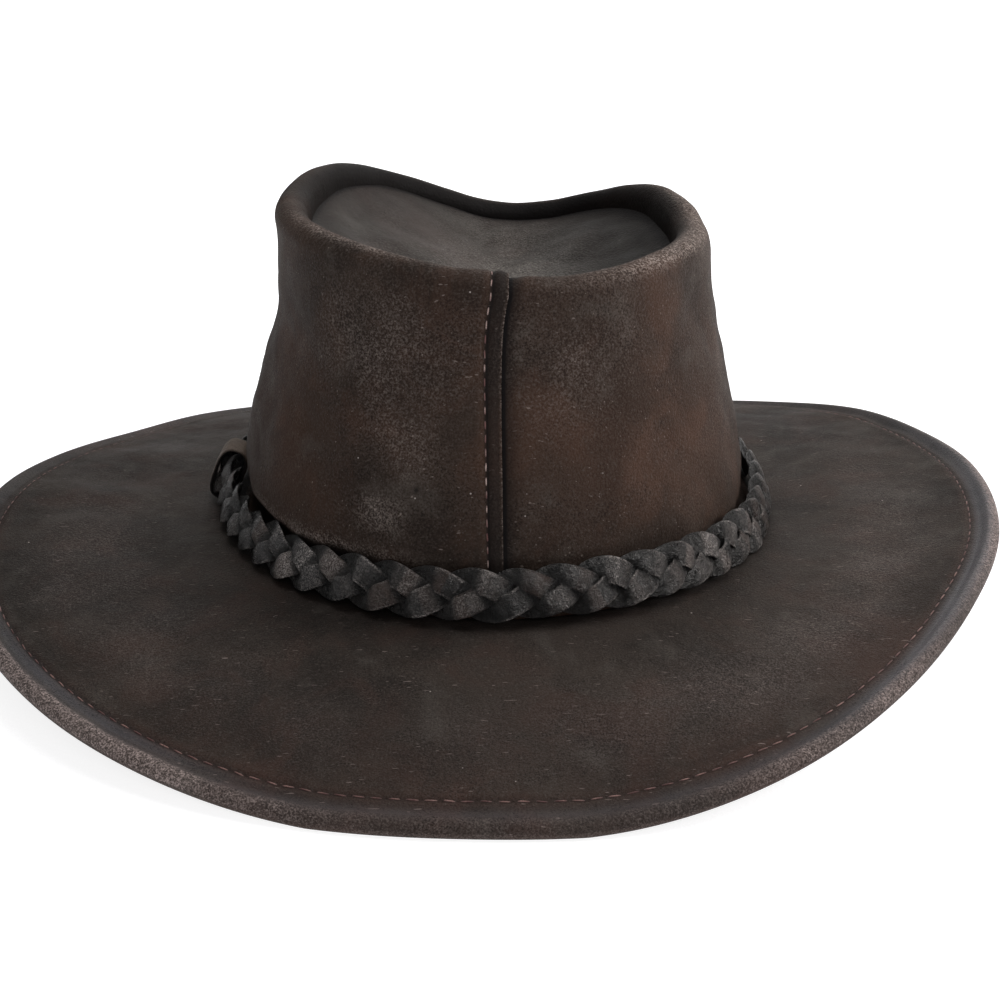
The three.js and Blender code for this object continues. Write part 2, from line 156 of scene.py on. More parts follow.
# What changes on the way round, every 15 degrees, as shares of the sizes above.
ROUND = {
    "ridge": [
        0.912, 0.927, 0.933, 0.91, 0.865, 0.818, 0.806, 0.858,
        0.919, 0.972, 1, 1.005, 0.996, 0.99, 0.98, 0.969,
        0.953, 0.93, 0.903, 0.89, 0.9, 0.913, 0.92, 0.917,
    ],
    "sink": [
        0.57, 0.433, 0.3, 0.178, 0.08, 0.026, 0, 0,
        0, 0.059, 0.15, 0.268, 0.4, 0.537, 0.67, 0.79,
        0.89, 0.96, 1, 1.007, 0.98, 0.914, 0.82, 0.702,
    ],
    "swell": [
        0.25, 0.275, 0.3, 0.303, 0.3, 0.294, 0.3, 0.325,
        0.4, 0.594, 0.8, 0.938, 1, 0.938, 0.8, 0.594,
        0.4, 0.325, 0.3, 0.297, 0.3, 0.275, 0.25, 0.244,
    ],
    "waist": [
        0, 0, 0, 0.044, 0.1, 0.144, 0.2, 0.281,
        0.4, 0.6, 0.8, 0.938, 1, 0.944, 0.8, 0.55,
        0.3, 0.169, 0.1, 0.094, 0.1, 0.05, 0, 0,
    ],
    "slack": [
        0.1, 0.147, 0.2, 0.25, 0.3, 0.356, 0.4, 0.408,
        0.4, 0.392, 0.38, 0.383, 0.35, 0.199, 0.05, 0.021,
        0.03, 0.029, 0.03, 0.029, 0.03, 0.037, 0.05, 0.07,
    ],
    "lift": [
        0, 0, 0, 0, 0, 0, 0, 0.062,
        0.2, 0.496, 0.8, 1.009, 1.06, 0.738, 0.4, 0.406,
        0.53, 0.659, 0.82, 1.084, 1.2, 0.792, 0.3, 0.094,
    ],
    "wave": [
        -0.05, -0.38, 0.06, -0.056, 0.1, 0.025, 0, 0.45,
        0.867, 0.237, -1, -0.925, -0.1, 0.081, 0.2, 0.456,
        0.6, 0.337, 0, -0.356, -0.2, -0.056, 0.1, 0.05,
    ],
    "spread": [
        0.4, 0.05, 0, 0.044, 0.1, 0.031, 0, 0.219,
        0.4, 0.184, 0, 0.288, 0.65, 0.844, 0.85, 0.475,
        0, -0.397, -0.6, -0.134, 0.1, -0.1, -0.1, 0.42,
    ],
}
# The crown wall from foot to ridge: share of the height, of the swell and of the waist.
WALL_ROWS = [(0.2, 0.8, 0), (0.38, 0.8, 0.05), (0.56, 0.3, 0.5), (0.74, 0, 1.15), (0.9, 0, 0.6)]
# Its foot, as shares of the flare: how far out and how far up.
FOOT_ROWS = [(1, 0), (0.4, 0.15), (0, 0.7)]
# Dents in the tip: across, along, spread and depth, as shares of the panel.
TIP_HOLLOWS = [(0.35, -0.1, 0.45, 0.7), (-0.05, 0.6, 0.3, 0.5), (-0.45, -0.35, 0.35, 0.3)]


def round_value(name, angle):
    """A column of the table at any angles, by a smooth curve through its rows."""
    column = np.array(ROUND[name], float)
    count = len(column)
    place = np.mod(angle, 360) / (360 / count)
    row = np.floor(place).astype(int)
    f = place - row
    a, b, c, d = (column[(row + k) % count] for k in (-1, 0, 1, 2))
    return b + 0.5 * f * (c - a + f * (2 * a - 5 * b + 4 * c - d + f * (3 * (b - c) + d - a)))


def power(value, exponent):
    return np.sign(value) * np.abs(value) ** exponent


def smooth(low, high, value):
    """Nought below low, one above high, and a soft rise between them."""
    t = np.clip((value - low) / (high - low), 0, 1)
    return t * t * (3 - 2 * t)


def hump(value, middle, width):
    return np.exp(-(((value - middle) / width) ** 2))


def near_angle(angle, middle, width):
    """One at an angle round the hat, falling off on both sides of it."""
    away = np.mod(angle - middle + 180, 360) - 180
    return np.exp(-((away / width) ** 2))


def ripple(points, size, seed, waves=14):
    """Soft bumps about size millimetres long, of about unit height, the same on every run."""
    dice = np.random.default_rng(seed)
    total = np.zeros(points.shape[:-1])
    for _ in range(waves):
        way = dice.normal(size=3)
        way *= 2 * math.pi / (size * dice.uniform(0.7, 1.5) * np.linalg.norm(way))
        total += np.sin(points @ way + dice.uniform(0, 2 * math.pi))
    return total / math.sqrt(waves / 2)


def patches(points, size, seed):
    """Soft patches about size millimetres long, from nought to one."""
    return 0.5 + 0.5 * np.clip(ripple(points, size, seed), -1, 1)


def unit(vectors):
    return vectors / np.maximum(np.linalg.norm(vectors, axis=-1, keepdims=True), 1e-9)


def oval(width, length, squareness, x, y):
    """An oval in plan: its points and outward directions at angles."""

    def at(angle):
        turn = np.radians(angle)
        across = power(np.cos(turn), 2 / squareness)
        along = power(np.sin(turn), 2 / squareness)
        point = np.stack([x + across * width / 2, y + along * length / 2], -1)
        out = np.stack(
            [power(across, squareness - 1) / width, power(along, squareness - 1) / length], -1
        )
        return point, unit(out)

    return at


bead_oval = oval(
    BRIM_WIDTH - 2 * BEAD_RADIUS, BRIM_LENGTH - 2 * BEAD_RADIUS, BRIM_SQUARENESS, 0, 0
)
crown_foot = oval(CROWN_WIDTH, CROWN_LENGTH, 2, CROWN_OFFSET, 0)
ridge_line = oval(RIDGE_WIDTH, RIDGE_LENGTH, RIDGE_SQUARENESS, RIDGE_X, RIDGE_Y)


def lift(plan, height):
    return np.concatenate([plan, np.asarray(height)[..., None]], -1)


def bead_height(angle):
    across = np.cos(np.radians(angle))
    wave = EDGE_WAVE * round_value("wave", angle)
    rise = SIDE_RISE * across * across + SIDE_LEAN * across + wave - REST_DIP
    return BEAD_RADIUS - BEAD_FLAT + np.maximum(0, rise)


def brim_ends(angle):
    """Where the brim leaves the crown's foot, which way it runs and how far to its bead."""
    point, out = crown_foot(angle)
    start = point + out * FOOT_FLARE
    bead, bead_out = bead_oval(angle)
    end = bead + bead_out * (EDGE_SPREAD * round_value("spread", angle))[..., None]
    reach = np.linalg.norm(end - start, axis=-1)
    return start, (end - start) / reach[..., None], reach


def brim_middle(angle, share):
    inner = BRIM_HEIGHT - BRIM_LEATHER / 2
    outer = bead_height(angle) + (HEM_LEATHER + CLEARANCE) / 2
    return inner + (outer - inner) * np.maximum(0, share) ** BRIM_DROOP


def tip_drop(angle):
    return np.maximum(0, TIP_DEPTH * round_value("sink", angle))


def ridge_top(angle):
    return BRIM_HEIGHT + CROWN_HEIGHT * round_value("ridge", angle)


class Tree:
    """Short names for building a material's nodes."""

    def __init__(self, name):
        self.material = bpy.data.materials.new(name)
        self.material.use_nodes = True
        self.tree = self.material.node_tree
        self.tree.nodes.clear()
        self.output = self.tree.nodes.new("ShaderNodeOutputMaterial")

    def add(self, kind, values=None, **settings):
        node = self.tree.nodes.new("ShaderNode" + kind)
        for key, value in settings.items():
            setattr(node, key, value)
        for key, value in (values or {}).items():
            self.put(node.inputs[key], value)
        return node

    def put(self, socket, value):
        if isinstance(value, bpy.types.NodeSocket):
            self.tree.links.new(value, socket)
        elif isinstance(value, tuple) and len(value) == 3 and socket.type == "RGBA":
            socket.default_value = (*value, 1.0)
        else:
            socket.default_value = value

    def noise(self, where, scale, detail=4.0, rough=0.55, twist=0.0):
        values = {"Vector": where, "Scale": scale, "Detail": detail}
        values.update({"Roughness": rough, "Distortion": twist})
        return self.add("TexNoise", values).outputs["Fac"]

    def ramp(self, value, low, high, start=0.0, end=1.0):
        """A soft step of a value between low and high."""
        values = {"Value": value, "From Min": low, "From Max": high}
        values.update({"To Min": start, "To Max": end})
        return self.add("MapRange", values, interpolation_type="SMOOTHSTEP").outputs[0]

    def math(self, operation, first, second=0.0):
        return self.add("Math", {0: first, 1: second}, operation=operation).outputs[0]

    def times(self, first, second):
        return self.math("MULTIPLY", first, second)

    def mix(self, share, first, second):
        values = {0: share, 6: first, 7: second}
        return self.add("Mix", values, data_type="RGBA").outputs[2]

    def field(self, name):
        return self.add("Attribute", attribute_name=name).outputs["Fac"]

    def finish(self, shader, bump):
        """Join the bump and the shader to the output, which completes the material."""
        self.put(shader.inputs["Normal"], bump.outputs[0])
        self.tree.links.new(shader.outputs[0], self.output.inputs[0])
        return self.material


# What a leather is like unless its own look says otherwise.
PLAIN_LOOK = {
    # Pattern scales.
    "mottle": 24.0, "cloud": 62.0, "patch": 38.0, "grit": 1500.0, "speck": 620.0, "lint": 120.0,
    "pebble": 900.0, "crease": 190.0,
    # Strengths of what those patterns do.
    "red": 0.45, "grey": 0.45, "pits": 0.7, "bloom": 0.5, "rub_and_painted_highlight": 0.05, "rub_patch": 0.3,
    "scratch": 0.4,
    # Finish and relief.
    "rough": (0.62, 0.5), "worn_rough": 0.1, "gloss": 0.2, "sheen": 0.02, "bump": 0.7,
    "pebble_height": 0.3, "crease_height": 0.7, "grit_height": 0.8,
    # Colours painted on polished places as a reflection, and in shadowed places as shade.
    "painted_reflection_colour": (0.055, 0.058, 0.064), "shadow": (0.0045, 0.0035, 0.0035),
}


def leather(name, dark, middle, warm, bloom, worn_and_highlight_colour, look):
    """Oiled leather: mottled, with bloom, worn places, lint, scratches and a pebbled grain, and
    with painted shade and painted highlights where its fields ask.
    """
    look = {**PLAIN_LOOK, "pit": dark, **look}
    t = Tree(name)
    where = t.add("TexCoord").outputs["Object"]
    wear_and_painted_highlight = t.field("wear_and_painted_highlight")
    shade = t.field("shade")
    glow = t.field("warm")
    large = t.noise(where, look["mottle"], 5.0, 0.62, 0.4)
    cloud = t.noise(where, look["cloud"], 6.0, 0.7, 0.3)
    patch = t.noise(where, look["patch"], 4.0, 0.6, 0.5)
    grit = t.noise(where, look["grit"], 3.0, 0.7)
    speck = t.noise(where, look["speck"], 4.0, 0.75)
    polish_and_painted_reflection = t.field("polish_and_painted_reflection")
    colour = t.mix(t.ramp(large, 0.38, 0.62), dark, middle)
    redness = t.math("ADD", t.ramp(patch, 0.47, 0.66, 0.0, look["red"]), glow)
    colour = t.mix(redness, colour, warm)
    # Painted reflection: polished places are tinted towards a bluish reflection colour.
    colour = t.mix(t.times(polish_and_painted_reflection, 0.5), colour, look["painted_reflection_colour"])
    colour = t.mix(t.ramp(patch, 0.45, 0.3, 0.0, look["grey"]), colour, bloom)

    # The nap: dark and pale specks at the size of the grain.
    coarse = t.ramp(cloud, 0.42, 0.62, 0.35, 1.0)
    pits = t.times(t.ramp(grit, 0.5, 0.36, 0.0, look["pits"]), coarse)
    colour = t.mix(pits, colour, look["pit"])
    dust = t.times(t.ramp(grit, 0.5, 0.68), t.ramp(speck, 0.4, 0.62, 0.35, 1.0))
    colour = t.mix(t.times(dust, look["bloom"]), colour, bloom)
    # Worn places turn pale, and so do the painted highlights that the same field carries.
    rub_and_painted_highlight = t.times(wear_and_painted_highlight, t.ramp(grit, 0.42, 0.62, look["rub_and_painted_highlight"], 1.0))
    rub_and_painted_highlight = t.times(rub_and_painted_highlight, t.ramp(speck, 0.35, 0.58, look["rub_patch"], 1.0))
    colour = t.mix(rub_and_painted_highlight, colour, worn_and_highlight_colour)

    # Lint: tiny pale spots, one in some of the cells of a coarse pattern.
    cells = t.add("TexVoronoi", {"Vector": where, "Scale": look["lint"]})
    near = t.ramp(cells.outputs["Distance"], 0.022, 0.044, 1.0, 0.0)
    chosen = t.add("SeparateColor", {"Color": cells.outputs["Color"]}).outputs[0]
    lint = t.times(near, t.ramp(chosen, 0.66, 0.68))
    colour = t.mix(t.times(lint, 0.8), colour, (0.42, 0.37, 0.35))

    # Scratches and hairs: the crests of a stretched noise, in two directions.
    scratch = None
    for turn in (0.6, -0.8):
        way = (0.25, turn * 0.4, turn)
        values = {"Vector": where, "Rotation": way, "Scale": (75.0, 620.0, 300.0)}
        spun = t.add("Mapping", values).outputs[0]
        lines = t.ramp(t.noise(spun, 3.2, 1.0, 0.5), 0.755, 0.78)
        scratch = lines if scratch is None else t.math("MAXIMUM", scratch, lines)
    colour = t.mix(t.times(scratch, look["scratch"]), colour, worn_and_highlight_colour)
    colour = t.mix(shade, colour, look["shadow"])

    rough = t.ramp(cloud, 0.3, 0.75, *look["rough"])
    rough = t.math("ADD", rough, t.times(wear_and_painted_highlight, look["worn_rough"]))
    rough = t.math("SUBTRACT", rough, t.times(polish_and_painted_reflection, 0.26))

    pebble = t.add("TexVoronoi", {"Vector": where, "Scale": look["pebble"]})
    pebble = t.ramp(pebble.outputs["Distance"], 0.1, 0.75, 1.0, 0.0)
    crease = t.noise(where, look["crease"], 5.0, 0.66, 0.8)
    bumps = t.times(pebble, look["pebble_height"])
    bumps = t.times(bumps, t.math("ADD", t.times(wear_and_painted_highlight, 2.5), 0.6))
    bumps = t.math("ADD", bumps, t.times(crease, look["crease_height"]))
    bumps = t.math("ADD", bumps, t.times(grit, look["grit_height"]))
    values = {"Height": bumps, "Strength": look["bump"], "Distance": 0.0005}
    bump = t.add("Bump", values)

    values = {
        "Base Color": colour,
        "Roughness": rough,
        "Specular IOR Level": look["gloss"],
        "Sheen Weight": look["sheen"],
        "Sheen Roughness": 0.45,
        "Sheen Tint": (0.8, 0.74, 0.72),
    }
    return t.finish(t.add("BsdfPrincipled", values), bump)


def thread(name, light, deep):
    """Waxed sewing thread: fine twisted strands, with painted shade where it goes down into its
    holes.
    """
    t = Tree(name)
    where = t.add("TexCoord").outputs["Object"]
    tone = t.noise(where, 160.0, 3.0, 0.6)
    fine = t.noise(where, 2600.0, 2.0, 0.6)
    colour = t.mix(t.ramp(tone, 0.4, 0.62), deep, light)
    colour = t.mix(t.ramp(fine, 0.45, 0.6, 0.0, 0.45), colour, deep)
    colour = t.mix(t.field("shade"), colour, (0.012, 0.006, 0.006))
    bump = t.add("Bump", {"Height": fine, "Strength": 0.5, "Distance": 0.0002})
    values = {"Base Color": colour, "Roughness": 0.55, "Specular IOR Level": 0.4}
    return t.finish(t.add("BsdfPrincipled", values), bump)


def build(name, points, faces, material, fields, node):
    """A mesh piece from points in millimetres, with a number per point for each named field."""
    mesh = bpy.data.meshes.new(name)
    mesh.from_pydata(((points + SHIFT) * 0.001).tolist(), [], faces)
    mesh.validate()
    for key in ("wear_and_painted_highlight", "shade", "warm", "polish_and_painted_reflection"):
        values = fields.get(key)
        values = np.zeros(len(points)) if values is None else np.clip(values, 0, 1)
        layer = mesh.attributes.new(key, "FLOAT", "POINT")
        layer.data.foreach_set("value", np.ascontiguousarray(values, dtype=np.float32))
    mesh.shade_smooth()
    mesh.materials.append(material)
    piece = add_object(name, mesh)
    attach(piece, "root")
    if node:
        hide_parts(node)


def grid_faces(rows, columns, ring_rows, ring_columns, flip=False, first=0):
    """Quads over a grid of points stored row by row, closed up on either side as asked."""
    i = np.arange(rows if ring_rows else rows - 1)
    j = np.arange(columns if ring_columns else columns - 1)
    i, j = np.meshgrid(i, j, indexing="ij")
    k = (i + 1) % rows
    m = (j + 1) % columns
    quads = np.stack(
        [i * columns + j, k * columns + j, k * columns + m, i * columns + m], -1
    ).reshape(-1, 4)
    if flip:
        quads = quads[:, ::-1]
    return (quads + first).tolist()


def volume_of(points, faces):
    """Six times the volume that the quads enclose, to tell which way they face."""
    quads = np.array(faces)
    a, b, c, d = (points[quads[:, k]] for k in range(4))
    first = np.einsum("ij,ij->i", a, np.cross(b, c)).sum()
    second = np.einsum("ij,ij->i", a, np.cross(c, d)).sum()
    return first + second


def facing_out(points, faces):
    if volume_of(points, faces) < 0:
        return [face[::-1] for face in faces]
    return faces


# The side of a sheet that isn't worked up: hardly worn, not shaded and a little warm.
PLAIN_SIDE = {"wear_and_painted_highlight": 0.02, "shade": 0.0, "warm": 0.4}


def with_plain_side(worked):
    """The fields of a sheet's face, each row followed by that of its plain other side."""
    fields = {}
    for key, value in PLAIN_SIDE.items():
        face = worked[key]
        fields[key] = np.concatenate([face, np.full(face.shape, value)], 1).ravel()
    return fields


def curve_through(points, per_gap):
    """A smooth curve through uneven rows of points, each gap cut into so many steps."""
    gaps = np.maximum(np.linalg.norm(np.diff(points, axis=-2), axis=-1), 1e-6)[..., None]
    slope = np.diff(points, axis=-2) / gaps
    before, after = gaps[..., :-1, :], gaps[..., 1:, :]
    inner = (before * slope[..., 1:, :] + after * slope[..., :-1, :]) / (before + after)
    tangent = np.concatenate([slope[..., :1, :], inner, slope[..., -1:, :]], -2)
    pieces = []
    for i, steps in enumerate(per_gap):
        a, b = points[..., i, :], points[..., i + 1, :]
        m, n = tangent[..., i, :] * gaps[..., i, :], tangent[..., i + 1, :] * gaps[..., i, :]
        for f in np.arange(steps) / steps:
            g = 1 - f
            place = a * (1 + 2 * f) * g * g + m * f * g * g
            pieces.append(place + b * f * f * (3 - 2 * f) - n * f * f * g)
    pieces.append(points[..., -1, :])
    return np.stack(pieces, -2)


def swept(line, side, face, sideways, out):
    """Rings of points along a line, set off from it in two directions of its own."""
    return line[:, None] + side[:, None] * sideways[..., None] + face[:, None] * out[..., None]


def stitches(name, line, normal, pitch, dash, radius, seed, material, closed=False, lean=0.0):
    """Stitches along a line on a surface, each a short arched thread that dives at its ends."""
    dice = np.random.default_rng(seed)
    if closed:
        line = np.concatenate([line, line[:1]])
        normal = np.concatenate([normal, normal[:1]])
    steps = np.linalg.norm(np.diff(line, axis=0), axis=1)
    length = np.concatenate([[0], np.cumsum(steps)])
    total = length[-1]
    count = int(round(total / pitch)) if closed else int(total / pitch)
    pitch = total / count
    uneven = 0.12
    spots = (np.arange(count) + 0.5) * pitch + dice.uniform(-uneven, uneven, count)
    rings, sides = 7, 7
    t = np.linspace(-1, 1, rings)
    turn = 2 * math.pi * np.arange(sides) / sides
    points, shades, faces = [], [], []
    for spot in spots:
        size = dash * dice.uniform(0.9, 1.07)
        reach = spot + t * size / 2
        along = np.mod(reach, total) if closed else np.clip(reach, 0, total)
        centre = np.stack([np.interp(along, length, line[:, k]) for k in range(3)], -1)
        up = unit(np.stack([np.interp(along, length, normal[:, k]) for k in range(3)], -1))
        ahead = unit(np.gradient(centre, axis=0))
        side = unit(np.cross(ahead, up))
        centre = centre + side * (t * (lean + dice.uniform(-0.1, 0.1)))[:, None]
        arch = radius * (0.55 - 1.5 * t**2 * np.abs(t))
        centre = centre + up * arch[:, None]
        thick = radius * (1 - 0.3 * t**4) * dice.uniform(0.92, 1.08)
        sideways = np.cos(turn) * thick[:, None] * 1.1
        rise = np.sin(turn) * thick[:, None] * 0.85
        first = len(points) * rings * sides
        points.append(swept(centre, side, up, sideways, rise).reshape(-1, 3))
        faces += grid_faces(rings, sides, False, True, first=first)
        faces.append([first + k for k in range(sides)][::-1])
        faces.append([first + (rings - 1) * sides + k for k in range(sides)])
        shades.append(np.repeat(smooth(0.45, 0.95, np.abs(t)), sides))
    points = np.concatenate(points)
    fields = {"shade": np.concatenate(shades) * 0.8}
    build(name, points, faces, material, fields, None)


brim_leather = leather(
    "brim_leather",
    dark=(0.015, 0.0112, 0.0092),
    middle=(0.03, 0.0225, 0.0185),
    warm=(0.04, 0.0215, 0.0165),
    bloom=(0.06, 0.052, 0.046),
    worn_and_highlight_colour=(0.31, 0.25, 0.236),
    look={
        "rub_and_painted_highlight": 0.16, "rub_patch": 0.4, "painted_reflection_colour": (0.15, 0.148, 0.166), "grit": 1900.0,
        "pits": 0.85, "rough": (0.68, 0.56), "gloss": 0.11, "sheen": 0.0, "bloom": 0.72,
        "pit": (0.005, 0.0038, 0.0034),
    },
)
crown_leather = leather(
    "crown_leather",
    dark=(0.016, 0.0108, 0.0082),
    middle=(0.03, 0.0205, 0.0158),
    warm=(0.052, 0.027, 0.018),
    bloom=(0.062, 0.052, 0.045),
    worn_and_highlight_colour=(0.26, 0.215, 0.195),
    look={
        "rough": (0.74, 0.62), "gloss": 0.1, "sheen": 0.0, "mottle": 20.0, "bloom": 0.6,
        "pit": (0.005, 0.0035, 0.003),
    },
)
tip_leather = leather(
    "tip_leather",
    dark=(0.023, 0.0196, 0.017),
    middle=(0.042, 0.0372, 0.033),
    warm=(0.05, 0.0375, 0.0335),
    bloom=(0.086, 0.082, 0.075),
    worn_and_highlight_colour=(0.2, 0.182, 0.166),
    look={"rough": (0.66, 0.54), "gloss": 0.13, "grit_height": 0.9, "bloom": 0.7},
)
braid_leather = leather(
    "braid_leather",
    dark=(0.0055, 0.0052, 0.0056),
    middle=(0.013, 0.0115, 0.0112),
    warm=(0.036, 0.0225, 0.018),
    bloom=(0.07, 0.063, 0.059),
    worn_and_highlight_colour=(0.56, 0.51, 0.485),
    look={
        "rough": (0.4, 0.2), "gloss": 0.5, "rub_and_painted_highlight": 0.0, "sheen": 0.0, "mottle": 90.0,
        "cloud": 180.0, "patch": 120.0, "red": 0.2, "grey": 0.15, "grit": 2100.0, "speck": 500.0,
        "pits": 1.0, "bloom": 0.42, "crease": 560.0, "crease_height": 3.6, "grit_height": 1.8,
        "pebble_height": 0.2, "bump": 1.0, "lint": 260.0, "scratch": 0.3,
        "pit": (0.002, 0.0018, 0.0018), "shadow": (0.0012, 0.001, 0.001),
    },
)
keeper_leather = leather(
    "keeper_leather",
    dark=(0.036, 0.026, 0.019),
    middle=(0.07, 0.05, 0.036),
    warm=(0.09, 0.06, 0.042),
    bloom=(0.12, 0.1, 0.082),
    worn_and_highlight_colour=(0.18, 0.145, 0.118),
    look={"rough": (0.7, 0.6), "gloss": 0.2, "mottle": 90.0, "cloud": 200.0},
)
hem_thread = thread("hem_thread", light=(0.225, 0.13, 0.115), deep=(0.075, 0.03, 0.028))
seam_thread = thread("seam_thread", light=(0.42, 0.32, 0.29), deep=(0.12, 0.05, 0.046))


def add_brim():
    """The brim as one closed skin, with its corded edge and turned hem, and its stitches."""
    count = 760
    angle = np.arange(count) * 360 / count
    start, out, reach = brim_ends(angle)
    inside = -(FOOT_FLARE + CROWN_LEATHER)
    outer = reach + BEAD_RADIUS
    middle = bead_height(angle)

    # Distances in from the outer edge for the close rows near it, and shares of the rest.
    close_band = 16.0
    last_rows = [2.4, 1.9, 1.4, 0.9, 0.45, 0.12, 0.0]
    edge_rows = np.concatenate([np.arange(close_band, 3.0, -0.55), last_rows])
    field_rows = np.linspace(0, 1, 40, endpoint=False)

    def at(distance, height):
        plan = start[:, None, :] + out[:, None, :] * distance[..., None]
        return lift(plan, height)

    def underside(distance):
        return brim_middle(angle[:, None], distance / reach[:, None]) - BRIM_LEATHER / 2

    field = inside + (outer - close_band - inside)[:, None] * field_rows[None]
    rim = outer[:, None] - edge_rows[None]
    along = np.concatenate([field, rim], 1)
    from_edge = outer[:, None] - along
    sheet = brim_middle(angle[:, None], along / reach[:, None]) + BRIM_LEATHER / 2
    near = partial(near_angle, np.broadcast_to(angle[:, None], along.shape))

    # The roll over the cord, then a shallow valley, then the groove that the stitches pull.
    within = np.minimum(from_edge, BEAD_RADIUS)
    bead = middle[:, None] + np.sqrt(np.maximum(0, BEAD_RADIUS**2 - (BEAD_RADIUS - within) ** 2))
    over = middle[:, None] + BEAD_RADIUS
    blend = smooth(2.8, 6.4, from_edge)
    top = np.where(from_edge < BEAD_RADIUS, bead, over * (1 - blend) + sheet * blend)
    flat = at(along, top)
    soft = ripple(flat, 38, 3)
    fine = ripple(flat, 9, 4)
    top += 0.35 * hump(from_edge, 3.6, 1.6)
    top -= 0.42 * hump(from_edge, HEM_GROOVE, 1.5) * (0.9 + 0.3 * soft)
    top -= 0.40 * hump(from_edge, STITCH_LINE, 0.7)
    top += 0.16 * hump(from_edge, STITCH_LINE + 2.0, 1.6)
    open_field = smooth(12, 30, from_edge) * smooth(24, 45, along)
    top += open_field * (0.42 * soft + 0.28 * ripple(flat, 75, 5))
    top += 0.07 * fine * smooth(2.0, 5.0, from_edge) * smooth(18, 26, along)
    upper = at(along, top)

    # Round under the cord, along the turned hem, up its raw edge and back under the sheet.
    turns = np.radians([-12, -26, -40, -54, -68, -82, -98, -115, -133])
    under_out = reach[:, None] + BEAD_RADIUS * np.cos(turns)[None]
    under_drop = np.minimum(-BEAD_RADIUS * np.sin(turns), BEAD_RADIUS - BEAD_FLAT)
    below = at(under_out, middle[:, None] - under_drop[None])
    hem_in = np.linspace(BEAD_RADIUS + 0.8, HEM_WIDTH, 12)
    hem_at = reach[:, None] - hem_in[None]
    hem_depth = HEM_LEATHER * np.minimum(1, 1.4 - 0.4 * hem_in / HEM_WIDTH)
    hem_height = underside(hem_at) - hem_depth
    hem_height += 0.4 * hump(hem_in + BEAD_RADIUS, STITCH_LINE, 0.75)[None]
    hem = at(hem_at, np.maximum(hem_height, 0.35))
    raw_at = reach[:, None] - HEM_WIDTH - np.array([0.12, 0.2, 0.28])[None]
    raw = at(raw_at, underside(raw_at) - HEM_LEATHER * np.array([0.85, 0.45, 0.0])[None])
    back_rows = np.linspace(0, 1, 30)
    back_at = reach[:, None] - HEM_WIDTH - 0.6
    back_at = back_at + (inside + 0.3 - back_at) * back_rows[None]
    back = at(back_at, underside(back_at))
    back[..., 2] += 0.18 * ripple(back, 20, 6) * smooth(10, 20, back_at)

    loop = np.concatenate([upper, below, hem, raw, back], 1)
    columns = loop.shape[1]
    points = loop.reshape(-1, 3)
    faces = facing_out(points, grid_faces(count, columns, True, True))

    # Wear: the outer half of the roll is rubbed pale, most of all at the back left. Painted sheen
    # pales the open brim at the left and right, painted shade darkens the grooves, the foot of
    # the crown, the back middle and the front, and a painted bluish highlight lies along the
    # polished roll.
    noise = patches(upper, 26, 7)
    grit = patches(upper, 6, 8)
    left = near(230, 17) + 0.9 * near(206, 16)
    right = 0.6 * near(308, 13) + 1.1 * near(354, 20)
    strength = 0.12 + 2.3 * left + 1.1 * right
    wear_and_painted_highlight = strength * smooth(4.8, 1.8, from_edge) * (0.7 + 0.3 * noise) * (0.85 + 0.3 * grit)
    wear_and_painted_highlight *= smooth(-2.5, 0.5, from_edge)
    # Dust and painted sheen: the open brim paler at the left and at the right.
    dust_and_painted_sheen = 0.11 * near(205, 26) + 0.10 * near(302, 16) + 0.13 * near(340, 24)
    wear_and_painted_highlight += (0.02 + 0.03 * noise + dust_and_painted_sheen * (0.6 + 0.4 * noise)) * open_field
    shade = 0.42 * hump(from_edge, STITCH_LINE, 0.55)
    shade += 0.30 * hump(from_edge, HEM_GROOVE, 1.4) * (0.4 + 0.6 * left)
    shade += 0.55 * smooth(9, 0, along) + 0.25 * smooth(26, 6, along)
    shade += 0.2 * near(265, 22) * open_field
    shade += 0.3 * (near(45, 24) + near(140, 32)) * open_field
    warm = 0.35 * hump(from_edge, STITCH_LINE, 2.2)
    warm += 0.3 * near(312, 22) * hump(from_edge, 16, 9)
    warm += 0.25 * near(262, 24) * smooth(40, 6, from_edge)
    # Polish along the roll, strongest at the right, and in its valley at the back left: smoother,
    # with a painted bluish highlight.
    polish_and_painted_reflection = hump(from_edge, 4.6, 2.6) * (0.3 + 1.4 * near(338, 28))
    polish_and_painted_reflection = np.maximum(polish_and_painted_reflection, 0.8 * left * hump(from_edge, 7.2, 1.8))

    # Below, the bead is a little worn and the hem's raw edge is pale.
    worked = {"wear_and_painted_highlight": wear_and_painted_highlight, "shade": shade, "warm": warm, "polish_and_painted_reflection": polish_and_painted_reflection}
    plain = {"wear_and_painted_highlight": 0.03, "shade": 0.0, "warm": 0.4, "polish_and_painted_reflection": 0.0}
    rest = {key: np.full((count, columns - upper.shape[1]), plain[key]) for key in plain}
    raw_first = below.shape[1] + hem.shape[1]
    rest["wear_and_painted_highlight"][:, : below.shape[1]] = 0.2
    rest["wear_and_painted_highlight"][:, raw_first : raw_first + raw.shape[1]] = 0.55
    fields = {key: np.concatenate([worked[key], rest[key]], 1).ravel() for key in worked}
    build("brim_leather_skin", points, faces, brim_leather, fields, "brim")

